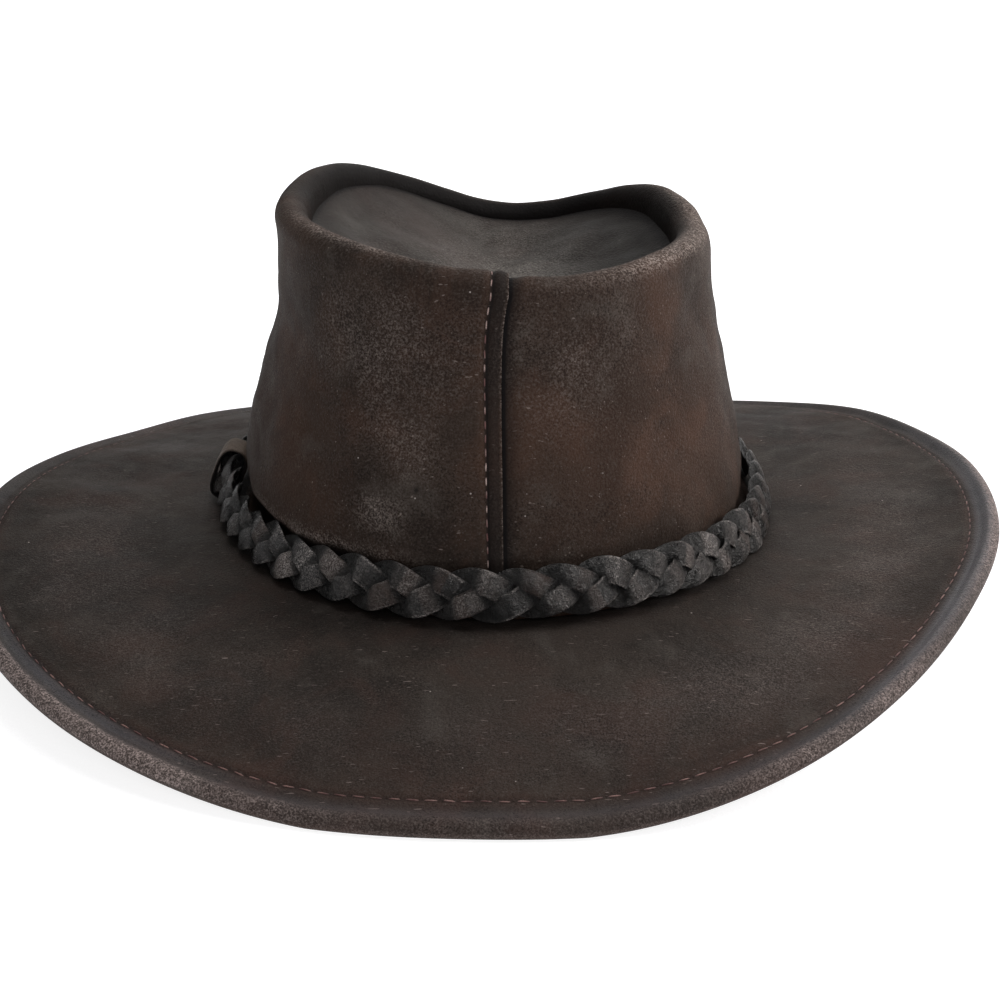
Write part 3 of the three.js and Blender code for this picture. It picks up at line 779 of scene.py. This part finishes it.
    # The stitch line lies in the groove above, and on the hem below.
    column = np.argmin(np.abs(from_edge[0] - STITCH_LINE))
    line = upper[:, column]
    normal = surface_normal(upper, True)[:, column]
    normal = np.where(normal[:, 2:] < 0, -normal, normal)
    stitches("hem_stitches", line, normal, HEM_STITCH, 3.9, 0.19, 21, hem_thread, True, 0.1)
    column = int(np.argmin(np.abs(hem_in + BEAD_RADIUS - STITCH_LINE)))
    line = hem[:, column]
    normal = np.tile([0.0, 0.0, -1.0], (count, 1))
    name = "hem_stitches_below"
    stitches(name, line, normal, HEM_STITCH, 3.6, 0.26, 22, hem_thread, True, -0.12)


def surface_normal(grid, ring):
    """Unit normals of a grid of points, closed round its first side or open."""
    if ring:
        first = np.roll(grid, -1, 0) - np.roll(grid, 1, 0)
    else:
        first = np.gradient(grid, axis=0)
    second = np.gradient(grid, axis=1)
    return unit(np.cross(first, second))


def crown_rows(angle, flare):
    """The middle of the crown's sheet at each angle, from its foot over the ridge to its lip."""
    foot, foot_out = crown_foot(angle)
    ridge, ridge_out = ridge_line(angle)
    roll = RIDGE_RADIUS - CROWN_LEATHER / 2
    floor = BRIM_HEIGHT + CLEARANCE + CROWN_LEATHER / 2
    height = ridge_top(angle)
    base = foot - foot_out * CROWN_LEATHER / 2
    inward = ((ridge - base) * ridge_out).sum(-1)
    distances, heights, climbs = [], [], []
    wall_top = height - RIDGE_RADIUS

    def row(distance, high, climb=None):
        distances.append(distance)
        heights.append(high)
        share = (high - floor) / (wall_top - floor) if climb is None else climb
        climbs.append(np.clip(share, 0, 1) * np.ones(len(angle)))

    for out, up in FOOT_ROWS:
        row(FOOT_FLARE * flare * out, np.full(len(angle), floor + FOOT_FLARE * up), 0)
    wall_foot = floor + FOOT_FLARE * FOOT_ROWS[-1][1]
    for up, swell, waist in WALL_ROWS:
        push = WALL_SWELL * swell * round_value("swell", angle)
        pull = WAIST_DEPTH * waist * round_value("waist", angle)
        row((inward + roll) * up + push - pull, wall_foot + (wall_top - wall_foot) * up)
    start = np.radians(9 - 28 * round_value("waist", angle))
    for share in np.arange(RIDGE_STEPS + 1) / RIDGE_STEPS:
        turn = start + (math.pi - start) * share
        row(inward + roll * np.cos(turn), height + roll * np.sin(turn))
    row(inward - roll, height - tip_drop(angle) - TIP_LEATHER, 1)
    shift = ridge - ridge_out * inward[:, None] - base
    climb = np.stack(climbs, 1)[..., None]
    out = unit(foot_out[:, None] * (1 - climb) + ridge_out[:, None] * climb)
    plan = base[:, None] + shift[:, None] * climb + out * np.stack(distances, 1)[..., None]
    return lift(plan, np.stack(heights, 1))


def add_crown():
    """The crown's wrapped sheet with its lap at the back seam, and the seam's stitches."""
    per_mm = 1 / math.radians(CROWN_WIDTH / 2)
    edge = SEAM_ANGLE + SEAM_EDGE * per_mm
    whole = 360 / per_mm
    close, wide = 0.5, 1.25
    lap_side, under_side = 16, whole - 20
    strip = np.concatenate(
        [
            np.arange(0, lap_side, close),
            np.arange(lap_side, under_side, wide),
            np.arange(under_side, whole + SEAM_LAP + 0.01, close),
        ]
    )
    to_edge = whole - strip
    angle = edge - strip * per_mm
    flare = smooth(0.3, 2.5, to_edge)
    rows = crown_rows(angle, flare)

    # Columns up the wall, then over the ridge. The looks count them from the ridge's start.
    wall_steps = [3, 3, 10, 9, 9, 9, 9, 8]
    middle = curve_through(rows, wall_steps + [2] * RIDGE_STEPS + [7])
    over = np.arange(middle.shape[1])[None] - sum(wall_steps)
    around = np.broadcast_to(angle[:, None], middle.shape[:2])
    near = partial(near_angle, around)
    up = (middle[..., 2] - BRIM_HEIGHT) / (ridge_top(angle)[:, None] - BRIM_HEIGHT)
    climb = np.where(over < 10, np.clip(up, 0, 1), 1.0)
    at_seam = near(SEAM_ANGLE, 50)
    middle[..., 0] += at_seam * (SEAM_LEAN * climb**10 - SEAM_BACK)
    normal = surface_normal(middle, False)
    centre = np.array([RIDGE_X, RIDGE_Y, 0])
    mid_row = normal.shape[1] // 3
    outward = ((middle - centre)[:, mid_row] * normal[:, mid_row]).sum()
    if outward < 0:
        normal = -normal

    # Unevenness, a ledge low at the left, the seam's pucker and the pull of its stitches.
    height = middle[..., 2]
    flat_strip = np.broadcast_to(strip[:, None], height.shape)
    free = smooth(0, 10, height - BRIM_HEIGHT - 2) * smooth(30, 60, to_edge)[:, None]
    free *= 1 - 0.6 * smooth(0.8, 0.95, up)
    bumpy = 0.35 * ripple(middle, 34, 11) + 0.12 * ripple(middle, 12, 12)
    flared = smooth(196, 206, around) * smooth(262, 236, around) * (over < -15)
    bumpy += 1.5 * flared * smooth(0.30, 0.17, up) * smooth(0.125, 0.155, up)
    pull = 0.32 * hump(flat_strip, SEAM_LINE, 0.7)
    puff = 0.20 * hump(flat_strip, 2.4, 1.2) + 0.15 * hump(flat_strip, 7.0, 2.2)

    # The lap: the upper end is raised and pared thin, and the lower end is pressed in under it.
    inset = 0.95 * smooth(7.0, 0.5, to_edge) + 0.75 * smooth(0.0, -5.0, to_edge)
    raised = 0.7 * smooth(18.0, 9.0, strip)
    at_foot = 0.3 + 0.7 * smooth(0.0, 0.07, up)
    face = (raised - inset - 0.35 * smooth(3.0, 0.3, strip))[:, None] * at_foot
    back = (raised - inset + 0.65 * smooth(5.0, 0.5, strip))[:, None] * at_foot
    half = CROWN_LEATHER / 2
    outer = middle + normal * (half + face + bumpy * free - pull + puff)[..., None]
    inner = middle + normal * (back - half)[..., None]
    count, columns = height.shape
    loop = np.concatenate([outer, inner[:, ::-1]], 1)
    points = loop.reshape(-1, 3)
    faces = facing_out(points, grid_faces(count, 2 * columns, False, True))

    # Wear on the ridge's crest, the panels and the lap's edge, with a few small marks. Painted
    # highlights on the ridge at the near right and the right, along its crest at the back right,
    # on the ledge's top edge and on the upper right of the wall. Painted shade in the seam's
    # groove, under the lap's edge, at the foot, under the ledge, in a small pit and inside the
    # ridge, most of all at the far side and on the ridge at the left; the flap between the
    # stitches and the edge is darkened too.
    noise = patches(outer, 22, 13)
    grit = patches(outer, 5, 14)
    inner_side = smooth(11, 19, over)
    crest = hump(over, 12.5, 4)
    wear_and_painted_highlight = crest * (0.05 + 0.85 * near(232, 24)) * (0.6 + 0.7 * grit) * (0.7 + 0.3 * noise)
    # Painted highlights on the ridge at the near right and the right, and a thin one along its
    # crest.
    wear_and_painted_highlight += hump(over, 8, 4.5) * near(322, 22) * (1.25 + 0.5 * noise)
    wear_and_painted_highlight += hump(over, 14, 1.6) * near(300, 34) * 0.5
    wear_and_painted_highlight += hump(over, 9, 6) * near(8, 34) * 1.1
    patch = near(254, 8) * hump(up, 0.5, 0.16)
    spot = near(247, 4.5) * hump(up, 0.29, 0.05)
    panel = near(246, 17) * hump(up, 0.79, 0.2)
    wear_and_painted_highlight += 0.22 * patch * (0.5 + 0.5 * noise) + 0.6 * spot + 0.27 * panel * (0.4 + 0.6 * noise)
    wear_and_painted_highlight += 0.34 * near(289, 12) * hump(up, 0.8, 0.16) * (0.4 + 0.6 * noise)
    wear_and_painted_highlight += 0.03 * noise
    wear_and_painted_highlight += smooth(0.7, 0.0, flat_strip) * smooth(0.03, 0.06, up) * (0.45 + 0.55 * up**4)
    # Painted highlight on the top edge of the ledge.
    wear_and_painted_highlight += 0.7 * flared * hump(up, 0.165, 0.02)
    # Painted light on the upper right of the wall.
    wear_and_painted_highlight += 0.14 * near(348, 14) * smooth(0.2, 0.5, up)
    pit = near(256, 0.55) * hump(up, 0.38, 0.011) * (over < 0)
    flap = smooth(SEAM_LINE + 0.3, SEAM_LINE - 0.6, flat_strip) * smooth(0.0, 0.9, flat_strip)
    shade = 0.75 * hump(flat_strip, SEAM_LINE, 0.45) + 0.62 * flap + 0.95 * pit
    under_lap = smooth(1.8, 0.7, to_edge) + 0.6 * smooth(6.0, 1.2, to_edge)
    shade += 0.9 * under_lap[:, None]
    shade += 0.35 * smooth(0.10, 0.0, up) + 0.95 * flared * smooth(0.155, 0.135, up)
    shade += 0.35 * near(160, 45) * smooth(0, 8, over)
    far = near(80, 62)
    shade += inner_side * (0.5 + 0.5 * far) + 0.4 * far * hump(over, 14, 4)
    warm = 0.12 * noise + 0.5 * near(302, 30) * smooth(0.1, 0.5, up)
    warm += 0.4 * near(222, 12) * hump(up, 0.42, 0.25)
    warm += 0.3 * near(327, 14) * hump(up, 0.42, 0.25)
    warm += 0.3 * hump(flat_strip, SEAM_LINE + 0.8, 1.4) + 0.3 * near(203, 20)
    warm = warm - 0.25 * near(302, 30) * smooth(0.45, 0.8, up)
    fields = with_plain_side({"wear_and_painted_highlight": wear_and_painted_highlight, "shade": shade, "warm": warm})

    # The raw edges at both ends are faces of their own, with their own pale colour.
    for end in (0, -1):
        cap = np.stack([outer[end], inner[end]], 0).reshape(-1, 3)
        faces += grid_faces(2, columns, False, False, flip=end == 0, first=len(points))
        points = np.concatenate([points, cap])
        for key, value in (("wear_and_painted_highlight", 0.55), ("shade", 0.0), ("warm", 0.2)):
            fields[key] = np.concatenate([fields[key], np.full(len(cap), value)])
    name, node = "crown_leather_skin", "crown_side"
    build(name, points, faces, crown_leather, fields, node)

    column = int(np.argmin(np.abs(strip - SEAM_LINE)))
    line, away = outer[column][2:-3], normal[column][2:-3]
    stitches("seam_stitches", line, away, SEAM_STITCH, 2.8, 0.19, 31, seam_thread)
    line = inner[column] - normal[column] * (CROWN_LEATHER + CLEARANCE)
    line, away = line[8:-30], -normal[column][8:-30]
    stitches("seam_stitches_inside", line, away, SEAM_STITCH, 2.5, 0.32, 32, seam_thread)


def add_tip():
    """The sunken oval panel inside the ridge."""
    count, rings = 320, 56
    angle = np.arange(count) * 360 / count
    point, out = ridge_line(angle)
    edge = point - out * (RIDGE_RADIUS - TIP_TUCK)
    centre = np.array([RIDGE_X, RIDGE_Y])
    edge_top = ridge_top(angle) - tip_drop(angle)
    knots = np.arange(12) * 30.0
    middle = (ridge_top(knots) - tip_drop(knots)).min()
    rim_rows = np.linspace(1, 0.9, 12, endpoint=False)
    share = np.concatenate([rim_rows, np.linspace(0.9, 0.02, rings)])
    plan = centre + (edge - centre)[:, None] * share[None, :, None]
    across = (plan[..., 0] - RIDGE_X) / (RIDGE_WIDTH / 2)
    along = (plan[..., 1] - RIDGE_Y) / (RIDGE_LENGTH / 2)
    low = middle - TIP_DISH
    height = low + (edge_top[:, None] - low) * share[None] ** TIP_BOWL
    for x, y, spread, depth in TIP_HOLLOWS:
        away = np.hypot(across - x, along - y) / spread
        height = height - TIP_DISH * depth * np.exp(-away * away) * (1 - share[None] ** 4)
    face = lift(plan, height)
    soft = 0.65 * ripple(face, 32, 41) + 0.28 * ripple(face, 14, 42)
    upper = face.copy()
    upper[..., 2] += soft * smooth(1.0, 0.86, share)[None]
    lower = upper.copy()
    lower[..., 2] -= TIP_LEATHER
    columns = len(share)
    loop = np.concatenate([upper, lower[:, ::-1]], 1)
    points = loop.reshape(-1, 3)

    # No tube through the panel's middle: strips close it above and below, and a band its rim.
    spoke = 2 * columns
    across_tube = {columns - 1, columns}
    faces = [
        face
        for face in grid_faces(count, spoke, True, False)
        if not across_tube <= {index % spoke for index in face}
    ]
    middle_strip = [[i, i + 1, count - 2 - i, count - 1 - i] for i in range(count // 2 - 1)]
    middle_strip = np.array(middle_strip) * spoke
    faces += (middle_strip + columns - 1).tolist()
    faces += (middle_strip[:, ::-1] + columns).tolist()
    tops = [i * spoke for i in range(count)] + [0]
    faces += [[a, a + spoke - 1, b + spoke - 1, b] for a, b in zip(tops, tops[1:])]
    faces = facing_out(points, faces)

    # Painted sheen makes the middle paler, and painted shade darkens the rest, most of all by the
    # ridge, at the front and left, and towards the right.
    near = partial(near_angle, np.broadcast_to(angle[:, None], height.shape))
    noise = patches(upper, 24, 43)
    rim = np.broadcast_to(share[None], height.shape)
    painted_centre_sheen = hump(across, 0.06, 0.36) * hump(along, 0.1, 0.85)
    wear_and_painted_highlight = 0.03 + 0.06 * noise + 0.85 * painted_centre_sheen * (0.6 + 0.4 * noise)
    shade = 0.75 * smooth(0.965, 1.0, rim) + 0.25 * smooth(0.9, 1.0, rim)
    shade += 0.25 * near(90, 50) * smooth(0.7, 1.0, rim)
    shade += 0.5 * smooth(0.1, 1.0, across) * smooth(-0.9, -0.1, along)
    shade += 0.35 * near(200, 35) * smooth(0.75, 1.0, rim)
    shade += 0.36 * (1 - painted_centre_sheen)
    warm = 0.55 * near(120, 50) * smooth(0.2, 0.7, rim) + 0.25 * noise
    fields = with_plain_side({"wear_and_painted_highlight": wear_and_painted_highlight, "shade": shade, "warm": warm})
    build("crown_tip_skin", points, faces, tip_leather, fields, "crown_tip")


# Half the plait's width and thickness, how far its middle stands above its lowest point,
# and the same for the keeper round it.
PLAIT_HALF = PLAIT_SWING + LACE_WIDTH / 2
PLAIT_BULK = PLAIT_RISE + LACE_THICKNESS / 2
PLAIT_TILT = math.radians(PLAIT_LEAN)
PLAIT_DROP = PLAIT_HALF * math.cos(PLAIT_TILT) + LACE_THICKNESS / 2 * math.sin(PLAIT_TILT)
KEEPER_ACROSS = PLAIT_HALF + 2 * CLEARANCE
KEEPER_THROUGH = PLAIT_BULK + 4 * CLEARANCE
KEEPER_BEND = KEEPER_SQUARENESS / (KEEPER_SQUARENESS - 1)
KEEPER_DROP = (
    ((KEEPER_ACROSS + KEEPER_LEATHER) * math.cos(PLAIT_TILT)) ** KEEPER_BEND
    + ((KEEPER_THROUGH + KEEPER_LEATHER) * math.sin(PLAIT_TILT)) ** KEEPER_BEND
) ** (1 / KEEPER_BEND)


def plait_frame(angle):
    """The middle of the plait at angles, the way across it, and the way it faces."""
    point, out = crown_foot(angle)
    lean = (CROWN_WIDTH - RIDGE_WIDTH - 2 * RIDGE_RADIUS) / 2 / CROWN_HEIGHT
    swell = WALL_ROWS[0][1] / 2 * WALL_SWELL * round_value("swell", angle)
    tight = PLAIT_HALF * (math.sin(PLAIT_TILT) - lean) + PLAIT_BULK * math.cos(PLAIT_TILT)
    away = np.maximum(tight + swell + CLEARANCE, FOOT_FLARE)
    away = away + PLAIT_SLACK * round_value("slack", angle)
    low = away + PLAIT_HALF * math.sin(PLAIT_TILT) - FOOT_FLARE
    reach = brim_ends(angle)[2]
    brim_top = np.maximum(brim_middle(angle, low / reach), brim_middle(angle, 0 * low))
    rise = (KEEPER_DROP - PLAIT_DROP + CLEARANCE) * round_value("lift", angle)
    height = brim_top + BRIM_LEATHER / 2 + CLEARANCE + FACET_ROOM + PLAIT_DROP + rise
    centre = lift(point + out * away[:, None], height)
    outward = lift(out, np.zeros(len(out)))
    up = np.array([0, 0, 1.0])
    across = -outward * math.sin(PLAIT_TILT) + up * math.cos(PLAIT_TILT)
    facing = outward * math.cos(PLAIT_TILT) + up * math.sin(PLAIT_TILT)
    return centre, across, facing


def plait_angles(count):
    """Angles at even steps of length along the plait, and its whole length."""
    per_degree = 4
    fine = np.arange(360 * per_degree + 1) / per_degree
    line = plait_frame(fine)[0]
    length = np.concatenate([[0], np.cumsum(np.linalg.norm(np.diff(line, axis=0), axis=1))])
    spots = length[-1] * np.arange(count) / count
    return np.interp(spots, length, fine), length[-1]


def add_laces():
    """Three soft laces, wide enough to cover one another, plaited flat round the crown."""
    turns = round(plait_angles(1)[1] / PLAIT_PITCH)
    steps = turns * PLAIT_STEPS
    angle, _ = plait_angles(steps)
    centre, across, facing = plait_frame(angle)
    near = partial(near_angle, angle)
    in_keeper = near(KEEPER_ANGLE, 5.5)
    back_off = (PLAIT_RISE - SOFT_RISE) * 0.6 * (1 - in_keeper)
    centre = centre + across * SOFT_LIFT - facing * back_off[:, None]
    path = 2 * math.pi * np.arange(steps) / PLAIT_STEPS
    sides = 18
    section = 2 * math.pi * np.arange(sides) / sides
    wild = 0.25 + 0.75 * near(318, 26)
    for lace in range(3):
        turn = path + 2 * math.pi * lace / 3
        loose = ripple(centre, 21, 51 + lace)
        loose_b = ripple(centre, 13, 61 + lace)
        swing = SOFT_SWING * (1 + 0.05 * loose * wild)
        rise = -(SOFT_RISE + 1.3 * in_keeper) * power(np.sin(2 * turn), 0.75)
        line = centre + across * (swing * np.sin(turn))[:, None] + facing * rise[:, None]
        ahead = unit(np.roll(line, -1, 0) - np.roll(line, 1, 0))
        wide = unit(np.cross(ahead, facing))
        thick = unit(np.cross(wide, ahead))
        roll = np.radians(7) * loose_b * wild
        cos, sin = np.cos(roll)[:, None], np.sin(roll)[:, None]
        wide, thick = wide * cos + thick * sin, thick * cos - wide * sin
        width = SOFT_LACE_WIDTH * (1 + 0.05 * loose + 0.04 * loose_b) + 3.5 * in_keeper
        x = np.cos(section)
        y = power(np.sin(section), 0.8)
        bend = -0.34 * x**2
        bulk = SOFT_LACE_THICKNESS / 2 * (1 + 1.4 * in_keeper)
        points = swept(line, wide, thick, x * width[:, None] / 2, bend + bulk[:, None] * y)
        crumple = 0.18 * ripple(points, 5.0, 71 + lace) + 0.14 * ripple(points, 2.2, 81 + lace)
        points = points + thick[:, None] * (crumple * (1 - 0.5 * np.abs(x)[None]))[..., None]

        # Rubbed edges, paler faces on some lobes with painted glints at the left and near right,
        # painted shade where a lace dives under, on its underside and inside the keeper, a
        # painted bluish highlight at the left, and a tone for each lobe.
        rubbed = smooth(0.8, 0.92, np.abs(x)) * smooth(-0.1, 0.2, y)
        rubbed = rubbed[None] * (0.35 + 0.35 * loose[:, None])
        lobe = np.floor((turn + math.pi / 4) / math.pi).astype(int)
        dice = np.random.default_rng(91 + lace)
        tone = dice.choice([0.0, 0.0, 0.15, 0.45, 0.9], lobe.max() + 1)[lobe]
        pale_and_painted_glint = dice.choice([0.0, 0.03, 0.12, 0.24], lobe.max() + 1)[lobe]
        # Painted glints: lobe faces paler at the left and at the near right.
        pale_and_painted_glint = pale_and_painted_glint + 0.7 * near(230, 10) + 0.35 * near(322, 9)
        crest = (pale_and_painted_glint + 0.06)[:, None] * smooth(0.0, 0.6, y)[None]
        deep = smooth(1.3, 0.5, rise)[:, None] * np.ones_like(x)[None]
        lower = smooth(0.2, -0.4, y)[None] * np.ones((steps, 1))
        fields = {
            "wear_and_painted_highlight": (rubbed + crest * (0.6 + 0.4 * loose_b[:, None])).ravel(),
            "shade": np.maximum(np.maximum(0.92 * deep, 0.9 * lower), in_keeper[:, None]).ravel(),
            "warm": np.repeat(tone, sides),
            "polish_and_painted_reflection": np.repeat(0.6 * near(226, 18) * (tone < 0.5), sides),
        }
        flat = points.reshape(-1, 3)
        faces = facing_out(flat, grid_faces(steps, sides, True, True))
        name, node = f"braid_lace_{lace + 1}", f"braid_strand_{lace + 1}"
        build(name, flat, faces, braid_leather, fields, node)


def add_keeper():
    """The short leather sleeve over the place where the plait's ends meet."""
    sweep = math.degrees(KEEPER_LENGTH / (CROWN_LENGTH / 2 + PLAIT_SLACK))
    sides, rows = 72, 20
    turn = 2 * math.pi * np.arange(sides) / sides
    sideways = power(np.sin(turn), 2 / KEEPER_SQUARENESS)
    outwards = power(np.cos(turn), 2 / KEEPER_SQUARENESS)
    share = np.linspace(-0.5, 0.5, rows)
    centre, across, facing = plait_frame(KEEPER_ANGLE + sweep * share)

    def skin(extra):
        lip = 1 - 0.2 * smooth(0.42, 0.5, np.abs(share)) * (extra > 0)
        pared = 0.75 * smooth(0.25, 0.5, np.abs(share)) * (extra == 0)
        deep = KEEPER_THROUGH + extra * lip + pared
        wide = KEEPER_ACROSS + extra * lip + pared
        return swept(centre, across, facing, wide[:, None] * sideways, deep[:, None] * outwards)

    outer, inner = skin(KEEPER_LEATHER), skin(0.0)
    loop = np.concatenate([outer, inner[::-1]], 0)
    points = loop.reshape(-1, 3)
    points = points + 0.06 * ripple(points, 4, 91)[:, None] * np.array([1.0, 0, 0.4])
    faces = facing_out(points, grid_faces(2 * rows, sides, True, True))
    lips = np.concatenate([smooth(0.4, 0.5, np.abs(share))] * 2)
    # Painted shade inside the sleeve, at its open ends and on its lower side.
    shade = np.repeat([0.0, 0.95], rows)[:, None] * np.ones((1, sides))
    shade = shade + 0.75 * lips[:, None] + 0.3 * smooth(0.2, -0.6, np.sin(turn))[None]
    size = len(points)
    fields = {"wear_and_painted_highlight": np.full(size, 0.15), "shade": shade.ravel(), "warm": np.full(size, 0.5)}
    name, node = "braid_keeper_sleeve", "braid_keeper"
    build(name, points, faces, keeper_leather, fields, node)


def add_stage():
    """A white surface that fills the view, faintly woven and glowing, less near the hat, and soft
    light from above.
    """
    mesh = bpy.data.meshes.new("floor")
    side = 6.0
    corners = [(-side, -side, 0), (side, -side, 0), (side, side, 0), (-side, side, 0)]
    mesh.from_pydata(corners, [], [(0, 1, 2, 3)])
    floor = add_object("floor", mesh)
    t = Tree("floor_white")
    where = t.add("TexCoord").outputs["Object"]
    weave = t.noise(where, 700.0, 2.0, 0.6)
    bump = t.add("Bump", {"Height": weave, "Strength": 0.25, "Distance": 0.001})
    away = t.add("VectorMath", {0: where}, operation="LENGTH").outputs["Value"]
    glow = t.ramp(away, 0.2, 0.4, 0.82, 1.0)
    values = {
        "Base Color": (0.42, 0.42, 0.44),
        "Roughness": 0.9,
        "Specular IOR Level": 0.1,
        "Emission Color": (1.0, 1.0, 1.0),
        "Emission Strength": glow,
    }
    mesh.materials.append(t.finish(t.add("BsdfPrincipled", values), bump))

    world = bpy.data.worlds.new("world")
    world.use_nodes = True
    back = world.node_tree.nodes["Background"]
    back.inputs[0].default_value = (0.95, 0.97, 1.0, 1)
    back.inputs[1].default_value = 0.2
    bpy.context.scene.world = world

    def area(name, place, aim, size, watts, colour):
        data = bpy.data.lights.new(name, "AREA")
        data.shape = "RECTANGLE"
        data.size, data.size_y = size
        data.energy = watts
        data.color = colour
        lamp = add_object(name, data)
        lamp.location = place
        way = Vector(aim) - Vector(place)
        lamp.rotation_euler = way.to_track_quat("-Z", "Y").to_euler()

    area("overhead", (0.1, 0.25, 1.5), (0, 0, 0), (1.2, 0.9), 14, (1.0, 0.99, 0.97))
    area("far_side", (0.25, 2.4, 0.95), (0, 0, 0.08), (2.2, 0.8), 11, (1.0, 0.98, 0.95))
    area("behind_camera", (0.3, -1.6, 1.0), (0, 0, 0.08), (1.0, 0.8), 9, (1.0, 0.97, 0.94))
    area("right", (1.4, 0.2, 0.75), (0.1, 0, 0.08), (0.6, 0.8), 22, (1.0, 0.96, 0.93))


add_brim()
add_crown()
add_tip()
add_laces()
add_keeper()
add_stage()
